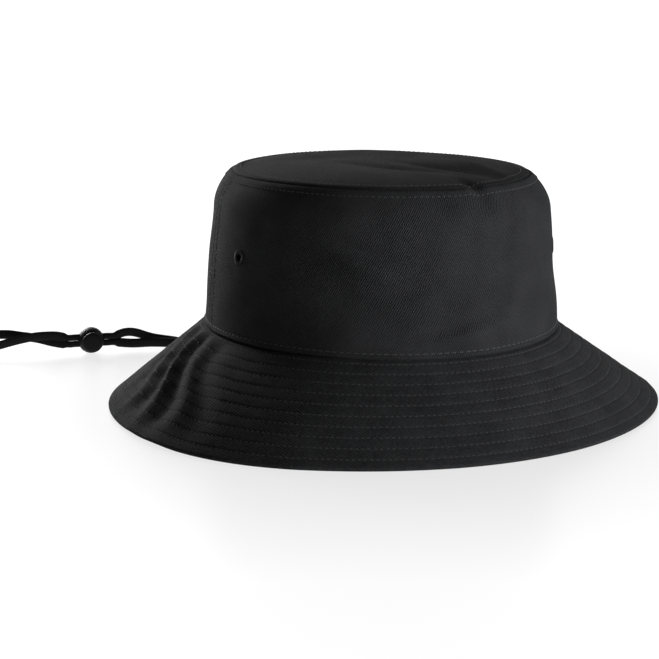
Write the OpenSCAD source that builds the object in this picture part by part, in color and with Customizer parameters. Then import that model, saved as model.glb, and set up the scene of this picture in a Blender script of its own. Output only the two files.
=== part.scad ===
// Bucket hat with a chin cord and a ball cord lock, in millimetres.
// +Z is up and the front of the hat faces -Y. The brim's edge stands on the plane Z = 0,
// and the origin is the middle of the hat on that plane.

/* [Head] */
// Half of the crown's length at its base seam, front to back
half_length = 102; // [98:1:107]
// Half of the crown's width at its base seam
half_width = 90; // [86:1:94]

/* [Crown] */
// Thickness of the crown's side band
band_thick = 1.3; // [1:0.1:1.6]
// Height at which the straight wall turns into the shoulder
shoulder_z = 100; // [92:1:108]
// How far the straight wall leans in from the base seam to the shoulder
wall_lean = 5.3; // [3:0.1:8]
// Radius of the shoulder's curve
shoulder_radius = 24; // [20:1:28]
// How much of that curve the side band takes, in degrees
shoulder_angle = 53; // [45:1:60]
// Thickness of the crown tip
tip_thick = 1.2; // [1:0.1:1.5]
// How far the crown tip rises from its seam to its flat middle
tip_rise = 4.3; // [2:0.1:8]

/* [Brim] */
// Height of the seam between the crown and the brim
base_z = 41; // [36:1:46]
// How far the brim reaches out from that seam
brim_reach = 50.5; // [44:0.5:58]
// Thickness of the brim's top cloth
brim_top_thick = 0.9; // [0.7:0.1:1.1]
// Thickness of the brim's stiff lining
brim_lining_thick = 0.5; // [0.4:0.1:0.8]
// Thickness of the brim's under cloth
brim_under_thick = 0.9; // [0.7:0.1:1.1]
// Number of stitch rows round the brim
stitch_rows = 10; // [6:1:10]
// Distance between two stitch rows
stitch_spacing = 6.4; // [5:0.1:6.4]
// Radius of the sewing thread
thread_radius = 0.3; // [0.25:0.05:0.4]

/* [Inside] */
// Height of the sweatband
sweatband_height = 33; // [28:1:38]
// Thickness of the sweatband
sweatband_thick = 1.2; // [1:0.1:1.4]

/* [Eyelets] */
// Angle between the side seam and each eyelet, in degrees
eyelet_angle = 19; // [14:1:24]
// Height of the eyelets' middle
eyelet_z = 82; // [76:1:90]
// Outer radius of an eyelet
eyelet_radius = 4; // [3.5:0.1:4.5]
// Radius of an eyelet's hole
eyelet_hole = 1.3; // [1:0.1:1.6]

/* [Chin cord and cord lock] */
// Radius of the chin cord
cord_radius = 1.7; // [1.4:0.1:1.7]
// Radius of the cord lock's ball
ball_radius = 7.5; // [7.5:0.1:8]
// Radius of the button's plunger
plunger_radius = 4.7; // [4.5:0.1:4.7]
// Radius of the button's head
head_radius = 5.8; // [5.4:0.1:6.2]
// How far the button travels
button_travel = 2.2; // [1.8:0.1:2.2]

/* [Hidden] */
$fn = 144;

cloth = [0.09, 0.09, 0.095];
lining = [0.2, 0.2, 0.2];
tape = [0.13, 0.13, 0.14];
thread = [0.16, 0.16, 0.17];
plastic = [0.05, 0.05, 0.055];
steel = [0.7, 0.7, 0.72];

// The base oval is four arcs that meet smoothly: an end arc front and back, a flatter one each side.
// Their middles are the corners of triangles with sides in the ratio 3:4:5.
end_y = 2 * (half_length - half_width);
end_radius = half_length - end_y;
side_x = 0.75 * end_y;
side_radius = half_width + side_x;
meet_angle = atan2(4, 3);
FRONT = [0, 0, 0];
BACK = [0, 1, 0];

// The brim falls in a straight line. A layer's depth is measured square to that line.
brim_slope = atan2(base_z, brim_reach);
brim_run = brim_reach / base_z;
under_top = brim_top_thick + brim_lining_thick;
under_bottom = under_top + brim_under_thick;
edge_gap = 0.3;
edge_fold = 3.5;

// The seam between the side band and the tip
shoulder_x = -wall_lean - shoulder_radius;
seam_reach = shoulder_x + shoulder_radius * cos(shoulder_angle);
seam_z = shoulder_z + shoulder_radius * sin(shoulder_angle);
tip_curve = 36;
top_z = seam_z + tip_rise;

sweatband_gap = 0.3;
sweatband_face = band_thick + sweatband_gap + sweatband_thick;
tape_thick = 0.7;
barrel_thick = 0.7;
tab_x = half_width - 6.2;
tab_radius = 2.9;

lock_at = [-130, 150, ball_radius];
strand_rise = 1.9;
running_gap = 0.1;
cord_gap = 0.3;
bore_depth = 5.2;
pocket_depth = 6.2;
front_cut = -4.9;
plunger_end = 2.9;
cord_arch = [-57, 139, -3.5];
cord_arch_radius = 11;
cord_arch_angle = -32;

// Where the chin cord runs, from the left tab through the lock and back to the right tab
CORD_ROUTE = [[tab_x, 0, 41], [tab_x, 1, 30], [tab_x - 1, 6, 15], [tab_x - 6, 18, 4], [72, 38, 1.8],
    [52, 68, 1.8], [22, 98, 1.8], [-12, 120, 1.8], [-40, 134, 1.8], [-58, 144, 2], [-76, 150, 3.5],
    [-94, 151, 6.5], [-108, 150.2, 9.2], [-116, 150, 9.4], [-130, 150, 9.4], [-144, 150, 9.4],
    [-152, 150.6, 9.6], [-164, 153.6, 9.8], [-176, 158, 9.8], [-190, 165, 8], [-206, 175, 4.5],
    [-222, 182, 2], [-238, 181, 1.8], [-250, 171, 1.8], [-250, 159, 1.8], [-238, 150, 1.8],
    [-220, 147, 1.8], [-202, 147, 2.4], [-186, 147.6, 4.4], [-172, 148.6, 6.2], [-160, 149.2, 6.2],
    [-152, 149.8, 5.8], [-144, 150, 5.6], [-130, 150, 5.6], [-116, 150, 5.6], [-106, 149.4, 3.8],
    [-94, 147.6, 2], [-78, 143.4, 1.8], [-60, 134, 1.8], [-52, 120, 1.8], [-54, 98, 1.8],
    [-62, 70, 1.8], [-72, 38, 1.8], [6 - tab_x, 18, 4], [1 - tab_x, 6, 15], [-tab_x, 1, 30],
    [-tab_x, 0, 41]];

function unit(v) = v / norm(v);
function directions(p) = [for (i = [0:len(p) - 1])
    unit(p[min(i + 1, len(p) - 1)] - p[max(i - 1, 0)])];
function carried(t, n, i = 1) = i == len(t) ? n :
    carried(t, concat(n, [unit(n[i - 1] - (n[i - 1] * t[i]) * t[i])]), i + 1);
// A point on the smooth curve through p, where u runs from 0 to 1 between points i and i + 1
function between(p, i, u) =
    let(a = p[max(i - 1, 0)], b = p[i], c = p[i + 1], d = p[min(i + 2, len(p) - 1)])
    0.5 * ((2 * b) + (c - a) * u + (2 * a - 5 * b + 4 * c - d) * u * u
        + (3 * b - a - 3 * c + d) * u * u * u);

// A straight wall's distance outside the base oval at a height
function wall_reach(z) = -wall_lean * (z - base_z) / (shoulder_z - base_z);
// The brim's distance outside the base oval at a depth below its top face, at a height
function brim_at(depth, z) = (base_z - z) * brim_run - depth / sin(brim_slope);
// The crown tip's height above its seam, a distance in from the seam
function tip_height(d) = tip_rise * (1 - pow(1 - min(d / tip_curve, 1), 2));

// A point a distance outside the oval, where the oval faces the direction a
function oval_point(a, reach) =
    let(c = cos(a), d = sin(a))
    abs(d) * 3 > abs(c) * 4 ? [(end_radius + reach) * c, sign(d) * end_y + (end_radius + reach) * d]
        : [(side_radius + reach) * c - sign(c) * side_x, (side_radius + reach) * d];

// One arc of the oval: sweeps a flat profile of [distance outside the oval, height]
module arc(middle, radius, from, to) {
    translate([middle.x, middle.y, 0])
        rotate(from)
            rotate_extrude(angle = to - from)
                translate([radius, 0]) children();
}

// The front half of the oval, or the back half when mirrored
module half_oval(side) {
    mirror(side)
        union() {
            arc([side_x, 0], side_radius, 180, 180 + meet_angle) children();
            arc([0, -end_y], end_radius, 180 + meet_angle, 360 - meet_angle) children();
            arc([-side_x, 0], side_radius, 360 - meet_angle, 360) children();
        }
}

module whole_oval() {
    half_oval(FRONT) children();
    half_oval(BACK) children();
}

// A strip of the straight wall between two heights and two depths inside its outer face
module wall_strip(z_low, z_high, depth_out, depth_in) {
    polygon([[wall_reach(z_low) - depth_out, z_low], [wall_reach(z_high) - depth_out, z_high],
        [wall_reach(z_high) - depth_in, z_high], [wall_reach(z_low) - depth_in, z_low]]);
}

// A strip that follows the shoulder's curve between two angles and two depths
function shoulder_points(depth, from, to, steps) = [for (i = [0:steps])
    let(a = from + (to - from) * i / steps)
    [shoulder_x + (shoulder_radius - depth) * cos(a), shoulder_z + (shoulder_radius - depth) * sin(a)]];

module band_profile() {
    polygon(concat([[0, base_z]], shoulder_points(0, 0, shoulder_angle, 5),
        shoulder_points(band_thick, shoulder_angle, 0, 5), [[-band_thick, base_z]]));
}

module brim_top_profile() {
    polygon([[0, base_z], [brim_at(0, edge_gap), edge_gap], [brim_at(under_top, edge_gap), edge_gap],
        [brim_at(under_top, edge_fold), edge_fold], [brim_at(brim_top_thick, edge_fold), edge_fold],
        [brim_at(brim_top_thick, base_z), base_z]]);
}

module brim_lining_profile() {
    low = edge_fold + 0.4;
    high = base_z - 2;
    polygon([[brim_at(brim_top_thick, low), low], [brim_at(under_top, low), low],
        [brim_at(under_top, high), high], [brim_at(brim_top_thick, high), high]]);
}

module brim_under_profile() {
    inner = -sweatband_face;
    polygon([[brim_at(under_top, base_z), base_z], [brim_at(under_top, 0), 0],
        [brim_at(under_bottom, 0), 0],
        [inner, base_z - (inner + under_bottom / sin(brim_slope)) / brim_run], [inner, base_z]]);
}

// The low arch that the brim's back edge makes over the chin cord
module cord_arch_cut() {
    translate(cord_arch)
        rotate([0, 90, cord_arch_angle])
            cylinder(r = cord_arch_radius, h = 60, center = true);
}

// The tip is a dished plate: rings of points on its top and its underside, and a middle point on each
module crown_tip() {
    steps = 6;
    sides = 96;
    in_from_seam = [for (i = [0:steps]) tip_curve * i / steps];
    top = [for (d = in_from_seam) [seam_reach - d, seam_z + tip_height(d)]];
    edge = [seam_reach - tip_thick * cos(shoulder_angle), seam_z - tip_thick * sin(shoulder_angle)];
    under = concat([for (i = [steps:-1:1]) [top[i].x, top[i].y - tip_thick]], [edge]);
    levels = concat(top, under);
    last = len(levels) - 1;
    rings = [for (level = levels, k = [0:sides - 1])
        let(p = oval_point(360 * k / sides, level.x))
        [p.x, p.y, level.y]];
    top_middle = len(rings);
    under_middle = top_middle + 1;
    skin = [for (i = [0:last], k = [0:sides - 1])
        let(j = (i + 1) % (last + 1), next = (k + 1) % sides)
        if (i != steps) each [[i * sides + k, j * sides + k, i * sides + next],
            [i * sides + next, j * sides + k, j * sides + next]]];
    fans = [for (k = [0:sides - 1])
        let(next = (k + 1) % sides)
        each [[steps * sides + k, top_middle, steps * sides + next],
            [(steps + 1) * sides + next, under_middle, (steps + 1) * sides + k]]];
    color(cloth)
        polyhedron(points = concat(rings, [[0, 0, top_z], [0, 0, top_z - tip_thick]]),
            faces = concat(skin, fans));
}

module side_band(side) {
    color(cloth)
        mirror(side)
            union() {
                difference() {
                    arc([side_x, 0], side_radius, 180, 180 + meet_angle) band_profile();
                    eyelet_bore(-1);
                }
                arc([0, -end_y], end_radius, 180 + meet_angle, 360 - meet_angle) band_profile();
                difference() {
                    arc([-side_x, 0], side_radius, 360 - meet_angle, 360) band_profile();
                    eyelet_bore(1);
                }
            }
}

module brim_top(side) {
    color(cloth)
        difference() {
            half_oval(side) brim_top_profile();
            cord_arch_cut();
        }
}

module brim_lining(side) {
    color(lining)
        difference() {
            half_oval(side) brim_lining_profile();
            cord_arch_cut();
        }
}

module brim_under(side) {
    color(cloth)
        difference() {
            half_oval(side) brim_under_profile();
            cord_arch_cut();
        }
}

module sweatband() {
    foot = 3;
    color(tape)
        union() {
            whole_oval() wall_strip(base_z + foot, base_z + sweatband_height,
                band_thick + sweatband_gap, sweatband_face);
            whole_oval() wall_strip(base_z, base_z + foot, band_thick, sweatband_face);
        }
}

module tip_seam_tape() {
    low = 26;
    high = shoulder_angle - 3;
    under_band = band_thick + 0.15;
    color(tape)
        whole_oval()
            polygon(concat(shoulder_points(under_band, low, high, 3),
                shoulder_points(under_band + tape_thick, high, low, 3)));
}

// way is 1 on the wearer's left side, +X, and -1 on the right side
module side_seam_tape(way) {
    half_turn = 2.7;
    middle = way > 0 ? 0 : 180;
    color(tape)
        arc([-way * side_x, 0], side_radius, middle - half_turn, middle + half_turn)
            wall_strip(base_z + sweatband_height + 1, shoulder_z - 1, band_thick, band_thick + tape_thick);
}

// Moves its children so that Z leaves the wall squarely at an eyelet
module at_eyelet(way, front_back) {
    turn = way > 0 ? front_back * eyelet_angle : 180 - front_back * eyelet_angle;
    lean = atan2(wall_lean, shoulder_z - base_z);
    translate([-way * side_x, 0, 0])
        rotate(turn)
            translate([side_radius + wall_reach(eyelet_z), 0, eyelet_z])
                rotate([0, 90 - lean, 0]) children();
}

// The hole that an eyelet's barrel fills, in the front half of the side band
module eyelet_bore(way) {
    at_eyelet(way, -1)
        translate([0, 0, -band_thick - 1])
            cylinder(r = eyelet_hole + barrel_thick, h = band_thick + 2);
}

module eyelet(way, front_back) {
    back = -band_thick;
    barrel = eyelet_hole + barrel_thick;
    color(thread)
        at_eyelet(way, front_back)
            rotate_extrude()
                polygon([[eyelet_hole, back - 0.4], [eyelet_hole, 0.3], [eyelet_hole + 0.4, 0.7],
                    [eyelet_radius - 0.8, 0.6], [eyelet_radius, 0], [barrel, 0], [barrel, back],
                    [eyelet_radius - 0.5, back], [eyelet_radius - 0.8, back - 0.4]]);
}

module cord_tab(way) {
    plate = 1.6;
    color(tape)
        translate([way * tab_x, 0, 0])
            difference() {
                union() {
                    translate([0, 0, 30])
                        cylinder(r = tab_radius, h = 14);
                    translate([way > 0 ? tab_radius - plate : -tab_radius, -6, 30])
                        cube([plate, 12, 17]);
                }
                translate([0, 0, 29])
                    cylinder(r = cord_radius, h = 12);
            }
}

module size_label() {
    color(lining)
        arc([0, end_y], end_radius, 82, 98)
            wall_strip(base_z + 8, base_z + 22, sweatband_face, sweatband_face + 0.4);
}

// A thread laid all round the hat at a distance outside the base oval and a height
module thread_loop(reach, z) {
    whole_oval()
        translate([reach, z]) circle(r = thread_radius, $fn = 6);
}

module tip_stitch_upper() {
    inset = 4.5;
    color(thread) thread_loop(seam_reach - inset, seam_z + tip_height(inset));
}

module tip_stitch_lower() {
    angle = shoulder_angle - 12;
    color(thread)
        thread_loop(shoulder_x + shoulder_radius * cos(angle), shoulder_z + shoulder_radius * sin(angle));
}

module base_stitch() {
    z = base_z + 3.2;
    color(thread) thread_loop(wall_reach(z), z);
}

module brim_stitch() {
    first = 3;
    color(thread)
        difference() {
            for (i = [0:stitch_rows - 1]) {
                along = first + stitch_spacing * i;
                thread_loop(along * cos(brim_slope), base_z - along * sin(brim_slope));
            }
            cord_arch_cut();
        }
}

// A tube of round section along a line of points
module tube(points, radius, sides, first_normal) {
    t = directions(points);
    n = carried(t, [first_normal]);
    last = len(points) - 1;
    rings = [for (i = [0:last], k = [0:sides - 1])
        let(a = 360 * k / sides)
        points[i] + radius * (cos(a) * n[i] + sin(a) * cross(t[i], n[i]))];
    walls = [for (i = [0:last - 1], k = [0:sides - 1])
        let(next = (k + 1) % sides)
        [i * sides + k, (i + 1) * sides + k, (i + 1) * sides + next, i * sides + next]];
    start_cap = [for (k = [0:sides - 1]) k];
    end_cap = [for (k = [sides - 1:-1:0]) last * sides + k];
    polyhedron(points = rings, faces = concat(walls, [start_cap, end_cap]));
}

// The chin cord: one length of soft braid, held by a tab at each end
module chin_cord() {
    last = len(CORD_ROUTE) - 1;
    points = concat([CORD_ROUTE[0]],
        [for (i = [0:last - 1]) each (i > 10 && i < 40 && i % 2 == 0 ? [between(CORD_ROUTE, i, 0.5),
            CORD_ROUTE[i + 1]] : [CORD_ROUTE[i + 1]])]);
    color(tape) tube(points, cord_radius, 8, [1, 0, 0]);
}

// The holes for the two strands, which pass along X one above the other
module strand_holes(length) {
    for (way = [-1, 1])
        translate([0, 0, way * strand_rise])
            rotate([0, 90, 0])
                cylinder(r = cord_radius + cord_gap, h = length, center = true);
}

module cord_lock_body() {
    pocket_radius = 2.5;
    bore = plunger_radius + running_gap;
    mouth_angle = acos(front_cut / ball_radius);
    steps = 16;
    color(plastic)
        translate(lock_at)
            difference() {
                rotate([-90, 0, 0])
                    rotate_extrude()
                        polygon(concat(
                            [for (i = [0:steps])
                                let(a = mouth_angle * i / steps)
                                [ball_radius * sin(a), ball_radius * cos(a)]],
                            [[bore, front_cut], [bore, bore_depth], [pocket_radius, bore_depth],
                                [pocket_radius, pocket_depth], [0, pocket_depth]]));
                strand_holes(4 * ball_radius);
            }
}

module cord_lock_button() {
    slot = cord_radius + cord_gap;
    head_back = front_cut - button_travel - 0.2;
    wide_cut = 4 * plunger_radius;
    color(plastic)
        translate(lock_at)
            difference() {
                rotate([90, 0, 0])
                    rotate_extrude()
                        polygon([[0, -plunger_end], [plunger_radius - 0.4, -plunger_end],
                            [plunger_radius, 0.4 - plunger_end], [plunger_radius, -head_back],
                            [head_radius, -head_back], [head_radius, 0.7 - head_back],
                            [head_radius - 0.5, 1.2 - head_back], [head_radius - 2, 1.5 - head_back],
                            [0, 1.6 - head_back]]);
                translate([-wide_cut / 2, -slot - button_travel, -strand_rise - slot])
                    cube([wide_cut, 2 * slot + button_travel, 2 * (strand_rise + slot)]);
            }
}

module cord_lock_spring() {
    turns = 3;
    steps = 12;
    wire = 0.25;
    coil_radius = 1.9;
    start_y = plunger_end + wire + 0.05;
    coil_length = pocket_depth - plunger_end - 2 * wire - 0.1;
    points = [for (i = [0:turns * steps])
        let(a = 360 * i / steps)
        [coil_radius * cos(a), start_y + coil_length * i / (turns * steps), coil_radius * sin(a)]];
    color(steel)
        translate(lock_at) tube(points, wire, 6, [1, 0, 0]);
}

crown_tip();
side_band(FRONT);  // side_band_front
side_band(BACK);  // side_band_back
brim_top(FRONT);  // brim_top_front
brim_top(BACK);  // brim_top_back
brim_lining(FRONT);  // brim_lining_front
brim_lining(BACK);  // brim_lining_back
brim_under(FRONT);  // brim_under_front
brim_under(BACK);  // brim_under_back
sweatband();
tip_seam_tape();
side_seam_tape(1);  // side_seam_tape_left
side_seam_tape(-1);  // side_seam_tape_right
eyelet(1, -1);  // eyelet_left_front
eyelet(1, 1);  // eyelet_left_back
eyelet(-1, -1);  // eyelet_right_front
eyelet(-1, 1);  // eyelet_right_back
cord_tab(1);  // cord_tab_left
cord_tab(-1);  // cord_tab_right
size_label();
tip_stitch_upper();
tip_stitch_lower();
base_stitch();
brim_stitch();
chin_cord();
cord_lock_body();
cord_lock_button();
cord_lock_spring();
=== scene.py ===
"""Bucket hat with a stitched brim, a chin cord and a ball cord lock.

Lengths are millimetres in the hat's frame and become metres where a mesh is made. Angles called
theta are the direction that the hat's oval faces: 0 is the wearer's left, +X, and 270 is the front.
"""
import math

import bpy
import numpy as np
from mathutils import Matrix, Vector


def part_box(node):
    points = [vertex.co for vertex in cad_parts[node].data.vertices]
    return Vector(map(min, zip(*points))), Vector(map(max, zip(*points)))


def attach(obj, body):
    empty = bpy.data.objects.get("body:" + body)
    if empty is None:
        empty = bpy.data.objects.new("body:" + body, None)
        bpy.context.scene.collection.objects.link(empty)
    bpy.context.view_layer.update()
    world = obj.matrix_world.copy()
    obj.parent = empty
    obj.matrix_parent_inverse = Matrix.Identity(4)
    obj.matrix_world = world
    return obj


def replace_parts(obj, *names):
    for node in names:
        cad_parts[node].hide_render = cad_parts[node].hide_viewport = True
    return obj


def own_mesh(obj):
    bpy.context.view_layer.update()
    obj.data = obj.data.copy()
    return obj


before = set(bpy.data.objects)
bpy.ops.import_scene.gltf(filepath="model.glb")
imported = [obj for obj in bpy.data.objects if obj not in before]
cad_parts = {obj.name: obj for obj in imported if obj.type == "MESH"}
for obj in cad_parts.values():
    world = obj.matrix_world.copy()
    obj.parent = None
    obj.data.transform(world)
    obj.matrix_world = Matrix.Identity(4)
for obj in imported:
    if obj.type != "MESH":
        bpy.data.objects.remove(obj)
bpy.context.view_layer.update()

MM = 0.001
WAVE_UNIT = math.pi / 10     # a wave texture of scale 1 repeats this often
TURN = 2 * math.pi

# ---- The hat's driving sizes, the same as the CAD model's
END_Y, END_RADIUS = 24, 78
SIDE_X, SIDE_RADIUS = 18, 108
BASE_Z = 41
BRIM_REACH = 50.5
SHOULDER_Z, WALL_LEAN, SHOULDER_RADIUS, SHOULDER_ANGLE = 100, 5.3, 24, math.radians(53)
SHOULDER_REACH = -WALL_LEAN - SHOULDER_RADIUS
SEAM_REACH = SHOULDER_REACH + SHOULDER_RADIUS * math.cos(SHOULDER_ANGLE)
SEAM_Z = SHOULDER_Z + SHOULDER_RADIUS * math.sin(SHOULDER_ANGLE)
BAND_THICK, TIP_THICK, TIP_RISE, TIP_CURVE = 1.3, 1.2, 4.3, 36
EYELET_ANGLE, EYELET_Z = 19, 82
LOCK_AT = np.array([-130, 150, 7.5])
SLIDE_REACH = 13.2          # half the lock's length and its slide to one side
CORD_WIDE = 5.3
TAB_X = 83.8
SEAMS = (("left", 0), ("right", 180))
PUCKER_WAY = 292            # where the tip seam is puckered
SLUMP_WAY = math.radians(195)

# ---- Sizes that only the looks need
EDGE_RADIUS = 1.15          # half the brim's thickness, which rounds its edge
EDGE_LIFT = EDGE_RADIUS + 0.1
BRIM_CLOTH = 0.9            # the thickness of the brim's upper and under cloth
BRIM_DROP = BASE_Z - EDGE_LIFT - 0.9
STITCH_ROWS, FIRST_ROW, ROW_SPACING = 10, 3.0, 6.4
BRIM_LENGTH = math.hypot(BRIM_REACH, BASE_Z)
STITCH_PITCH, STITCH_LENGTH, THREAD = 2.8, 1.55, 0.28
TIP_STITCH, BASE_STITCH = 4.6, 2.4
STITCH_JITTER = 0.1

# ---- The chin cord's route, from the left tab through the lock and back to the right tab
CORD_ROUTE = [
    (TAB_X, 0, 41), (TAB_X, 1, 30), (TAB_X - 1, 6, 15), (TAB_X - 6, 18, 4), (72, 38, 1.8),
    (52, 68, 1.8), (22, 98, 1.8), (-12, 120, 1.8), (-40, 134, 1.8), (-58, 144, 2.4),
    (-76, 150, 4.4), (-86, 151.8, 5.4), (-95, 152.2, 7.2), (-104, 151.4, 10.4), (-110, 150.5, 11),
    (-116.5, 150, 9.4),
    (-121, 150, 9.4), (-130, 150, 9.4), (-139, 150, 9.4), (-143.5, 150, 9.4),
    (-150, 150, 10.9), (-158, 149.8, 11.2), (-165, 149.3, 10.8),
    (-172, 148.4, 9.8), (-180, 147.4, 8.2), (-190, 147, 5.8), (-204, 147, 2.6), (-220, 147, 1.8),
    (-238, 150, 1.8), (-250, 159, 1.8), (-250, 171, 1.8), (-238, 181, 1.8), (-222, 182, 2),
    (-206, 175, 5.4), (-190, 167, 9.6), (-178, 161.2, 11), (-169, 157, 10.3), (-160, 153.4, 9.2),
    (-152, 151, 7.2), (-143.5, 150, 5.6), (-139, 150, 5.6), (-130, 150, 5.6), (-121, 150, 5.6),
    (-116.5, 150, 5.6), (-106, 149.2, 4.6),
    (-94, 147.4, 4.8), (-78, 143.4, 4), (-60, 134, 1.8), (-52, 120, 1.8), (-54, 98, 1.8),
    (-62, 70, 1.8), (-72, 38, 1.8), (6 - TAB_X, 18, 4), (1 - TAB_X, 6, 15), (-TAB_X, 1, 30),
    (-TAB_X, 0, 41)]


# ---------------------------------------------------------------- materials
class Nodes:
    """A short way to build one material's node tree."""

    def __init__(self, name, color, roughness):
        self.material = bpy.data.materials.new(name)
        self.material.use_nodes = True
        self.tree = self.material.node_tree
        self.shader = self.tree.nodes["Principled BSDF"]
        self.fix({"Base Color": (*color, 1), "Roughness": roughness})

    def fix(self, values):
        for key, value in values.items():
            self.shader.inputs[key].default_value = value

    def add(self, kind, inputs=(), **settings):
        node = self.tree.nodes.new(kind)
        for key, value in settings.items():
            setattr(node, key, value)
        for key, value in dict(inputs).items():
            if isinstance(value, bpy.types.NodeSocket):
                self.tree.links.new(value, node.inputs[key])
            else:
                node.inputs[key].default_value = value
        return node

    def math(self, operation, a, b=0.0):
        return self.add("ShaderNodeMath", {0: a, 1: b}, operation=operation).outputs[0]

    def scaled(self, value, scale, shift):
        return self.math("ADD", self.math("MULTIPLY", value, scale), shift)

    def weighted(self, *terms):
        total = None
        for value, weight in terms:
            term = self.math("MULTIPLY", value, weight)
            total = term if total is None else self.math("ADD", total, term)
        return total

    def mix(self, factor, dark, light):
        node = self.add("ShaderNodeMix", {0: factor, 6: (*dark, 1), 7: (*light, 1)},
                        data_type="RGBA")
        return node.outputs[2]

    def place(self):
        """The place on the piece, in metres."""
        return self.add("ShaderNodeTexCoord").outputs["Object"]

    def cloth(self):
        """The place on the flat cloth, in millimetres."""
        return self.add("ShaderNodeAttribute", attribute_name="cloth").outputs["Vector"]

    def turned(self, vector, angle):
        rotation = (0, 0, math.radians(angle))
        return self.add("ShaderNodeMapping", {"Vector": vector, "Rotation": rotation}).outputs[0]

    def noise(self, vector, scale, detail=3.0):
        return self.add("ShaderNodeTexNoise", {"Vector": vector, "Scale": scale,
                                               "Detail": detail}).outputs[0]

    def wave(self, vector, pitch, distortion, detail_scale):
        return self.add("ShaderNodeTexWave", {
            "Vector": vector, "Scale": WAVE_UNIT / pitch, "Distortion": distortion,
            "Detail Scale": detail_scale}).outputs[1]

    def link(self, output, name):
        self.tree.links.new(output, self.shader.inputs[name])

    def bump(self, height, distance):
        node = self.add("ShaderNodeBump", {"Height": height, "Distance": distance * MM,
                                           "Strength": 1.0})
        self.link(node.outputs[0], "Normal")


WEAVE_TURN = 62             # degrees between a twill's wales and its picks


def woven(name, dark, light, wale, angle, relief, sheen, roughness=0.95):
    """Twill: slanted wales a set pitch apart, crossed by finer picks, on the cloth's own
    coordinates."""
    n = Nodes(name, light, roughness)
    cloth = n.cloth()
    wales = n.wave(n.turned(cloth, angle), wale, 3.2, 0.9)
    picks = n.wave(n.turned(cloth, angle - WEAVE_TURN), wale * 0.7, 2.0, 1.6)
    fibre = n.noise(cloth, 1.3, 6.0)
    patch = n.noise(cloth, 0.055, 5.0)
    height = n.weighted((wales, 0.6), (picks, 0.25), (fibre, 1.3))
    tone = n.weighted((height, 1.15), (patch, 0.7))
    n.link(n.mix(n.math("SUBTRACT", tone, 1.05), dark, light), "Base Color")
    n.bump(height, relief)
    n.fix({"Sheen Weight": sheen, "Sheen Roughness": 0.3, "Sheen Tint": (0.95, 0.95, 1, 1),
           "Specular IOR Level": 0.05})
    return n.material


def braided(name, dark, light):
    """Two sets of strands that cross, on the cord's own coordinates."""
    n = Nodes(name, light, 0.8)
    cloth = n.cloth()
    height = 0.0
    for angle in (38, -38):
        height = n.math("MAXIMUM", n.wave(n.turned(cloth, angle), 0.8, 0.5, 2.0), height)
    height = n.math("ADD", height, n.math("MULTIPLY", n.noise(cloth, 3.0), 0.35))
    n.link(n.mix(n.math("MULTIPLY", height, 0.7), dark, light), "Base Color")
    n.bump(height, 0.12)
    n.fix({"Sheen Weight": 0.03, "Sheen Roughness": 0.4, "Specular IOR Level": 0.15})
    return n.material


def spun(name, dark, light):
    """Twisted sewing thread."""
    n = Nodes(name, light, 0.7)
    ply = n.noise(n.place(), 2600.0, 2.0)
    n.link(n.mix(ply, dark, light), "Base Color")
    n.bump(ply, 0.06)
    n.fix({"Sheen Weight": 0.02, "Specular IOR Level": 0.12})
    return n.material


def moulded(name, dark, light):
    """Black plastic from a finely spark-eroded mould, a little polished on its edges."""
    n = Nodes(name, light, 0.42)
    place = n.place()
    grain = n.noise(place, 3800.0)
    wear = n.noise(place, 300.0)
    edge = n.add("ShaderNodeNewGeometry").outputs["Pointiness"]
    rub = n.math("MULTIPLY", n.math("SUBTRACT", edge, 0.5), 3.0)
    n.link(n.mix(n.math("ADD", wear, rub), dark, light), "Base Color")
    n.link(n.scaled(wear, 0.2, 0.5), "Roughness")
    n.bump(grain, 0.05)
    n.fix({"Specular IOR Level": 0.2})
    return n.material


def drawn_steel(name, middle, dark, light):
    n = Nodes(name, middle, 0.3)
    scratch = n.noise(n.place(), 5200.0, 2.0)
    n.link(n.mix(scratch, dark, light), "Base Color")
    n.link(n.scaled(scratch, 0.2, 0.2), "Roughness")
    n.fix({"Metallic": 1})
    return n.material


def shadowed(name, middle, dark, light):
    """The unlit inside of an eyelet."""
    n = Nodes(name, middle, 1.0)
    n.link(n.mix(n.noise(n.place(), 900.0), dark, light), "Base Color")
    n.fix({"Specular IOR Level": 0})
    return n.material


# Cloth: dark and light threads, wale pitch and angle, relief and sheen
TWILL = woven("black_twill", (0.0035, 0.0036, 0.0039), (0.0265, 0.027, 0.0285), 1.0, 30, 0.4, 0.012)
# The tip is the same twill made darker and given less sheen: painted shade, so the top reads darker
# under the lights
SHADED_TIP_TWILL = woven("black_twill_tip_painted_shade", (0.0026, 0.0027, 0.0029), (0.0185, 0.0188, 0.0199),
                  1.0, 30, 0.4, 0.005)
LINING = woven("stiff_lining", (0.05, 0.05, 0.05), (0.12, 0.12, 0.12), 0.6, 0, 0.08, 0.05)
BAND_CLOTH = woven("sweatband_twill", (0.009, 0.009, 0.01), (0.02, 0.02, 0.021), 0.7, 30, 0.1, 0.1)
TAPE = woven("seam_tape", (0.012, 0.012, 0.013), (0.026, 0.026, 0.028), 0.8, 45, 0.12, 0.12)
LABEL = woven("label_satin", (0.02, 0.02, 0.021), (0.05, 0.05, 0.052), 0.4, 90, 0.05, 0.1, 0.6)
BRAID = braided("cord_braid", (0.003, 0.003, 0.0035), (0.015, 0.015, 0.016))
EYELET_SPUN = spun("eyelet_thread", (0.004, 0.004, 0.0043), (0.013, 0.013, 0.0137))
SPUN = spun("sewing_thread", (0.016, 0.016, 0.0167), (0.05, 0.05, 0.052))
PLASTIC = moulded("lock_plastic", (0.003, 0.003, 0.0034), (0.0075, 0.0075, 0.008))
STEEL = drawn_steel("spring_steel", (0.55, 0.55, 0.57), (0.4, 0.4, 0.42), (0.7, 0.7, 0.72))
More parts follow.
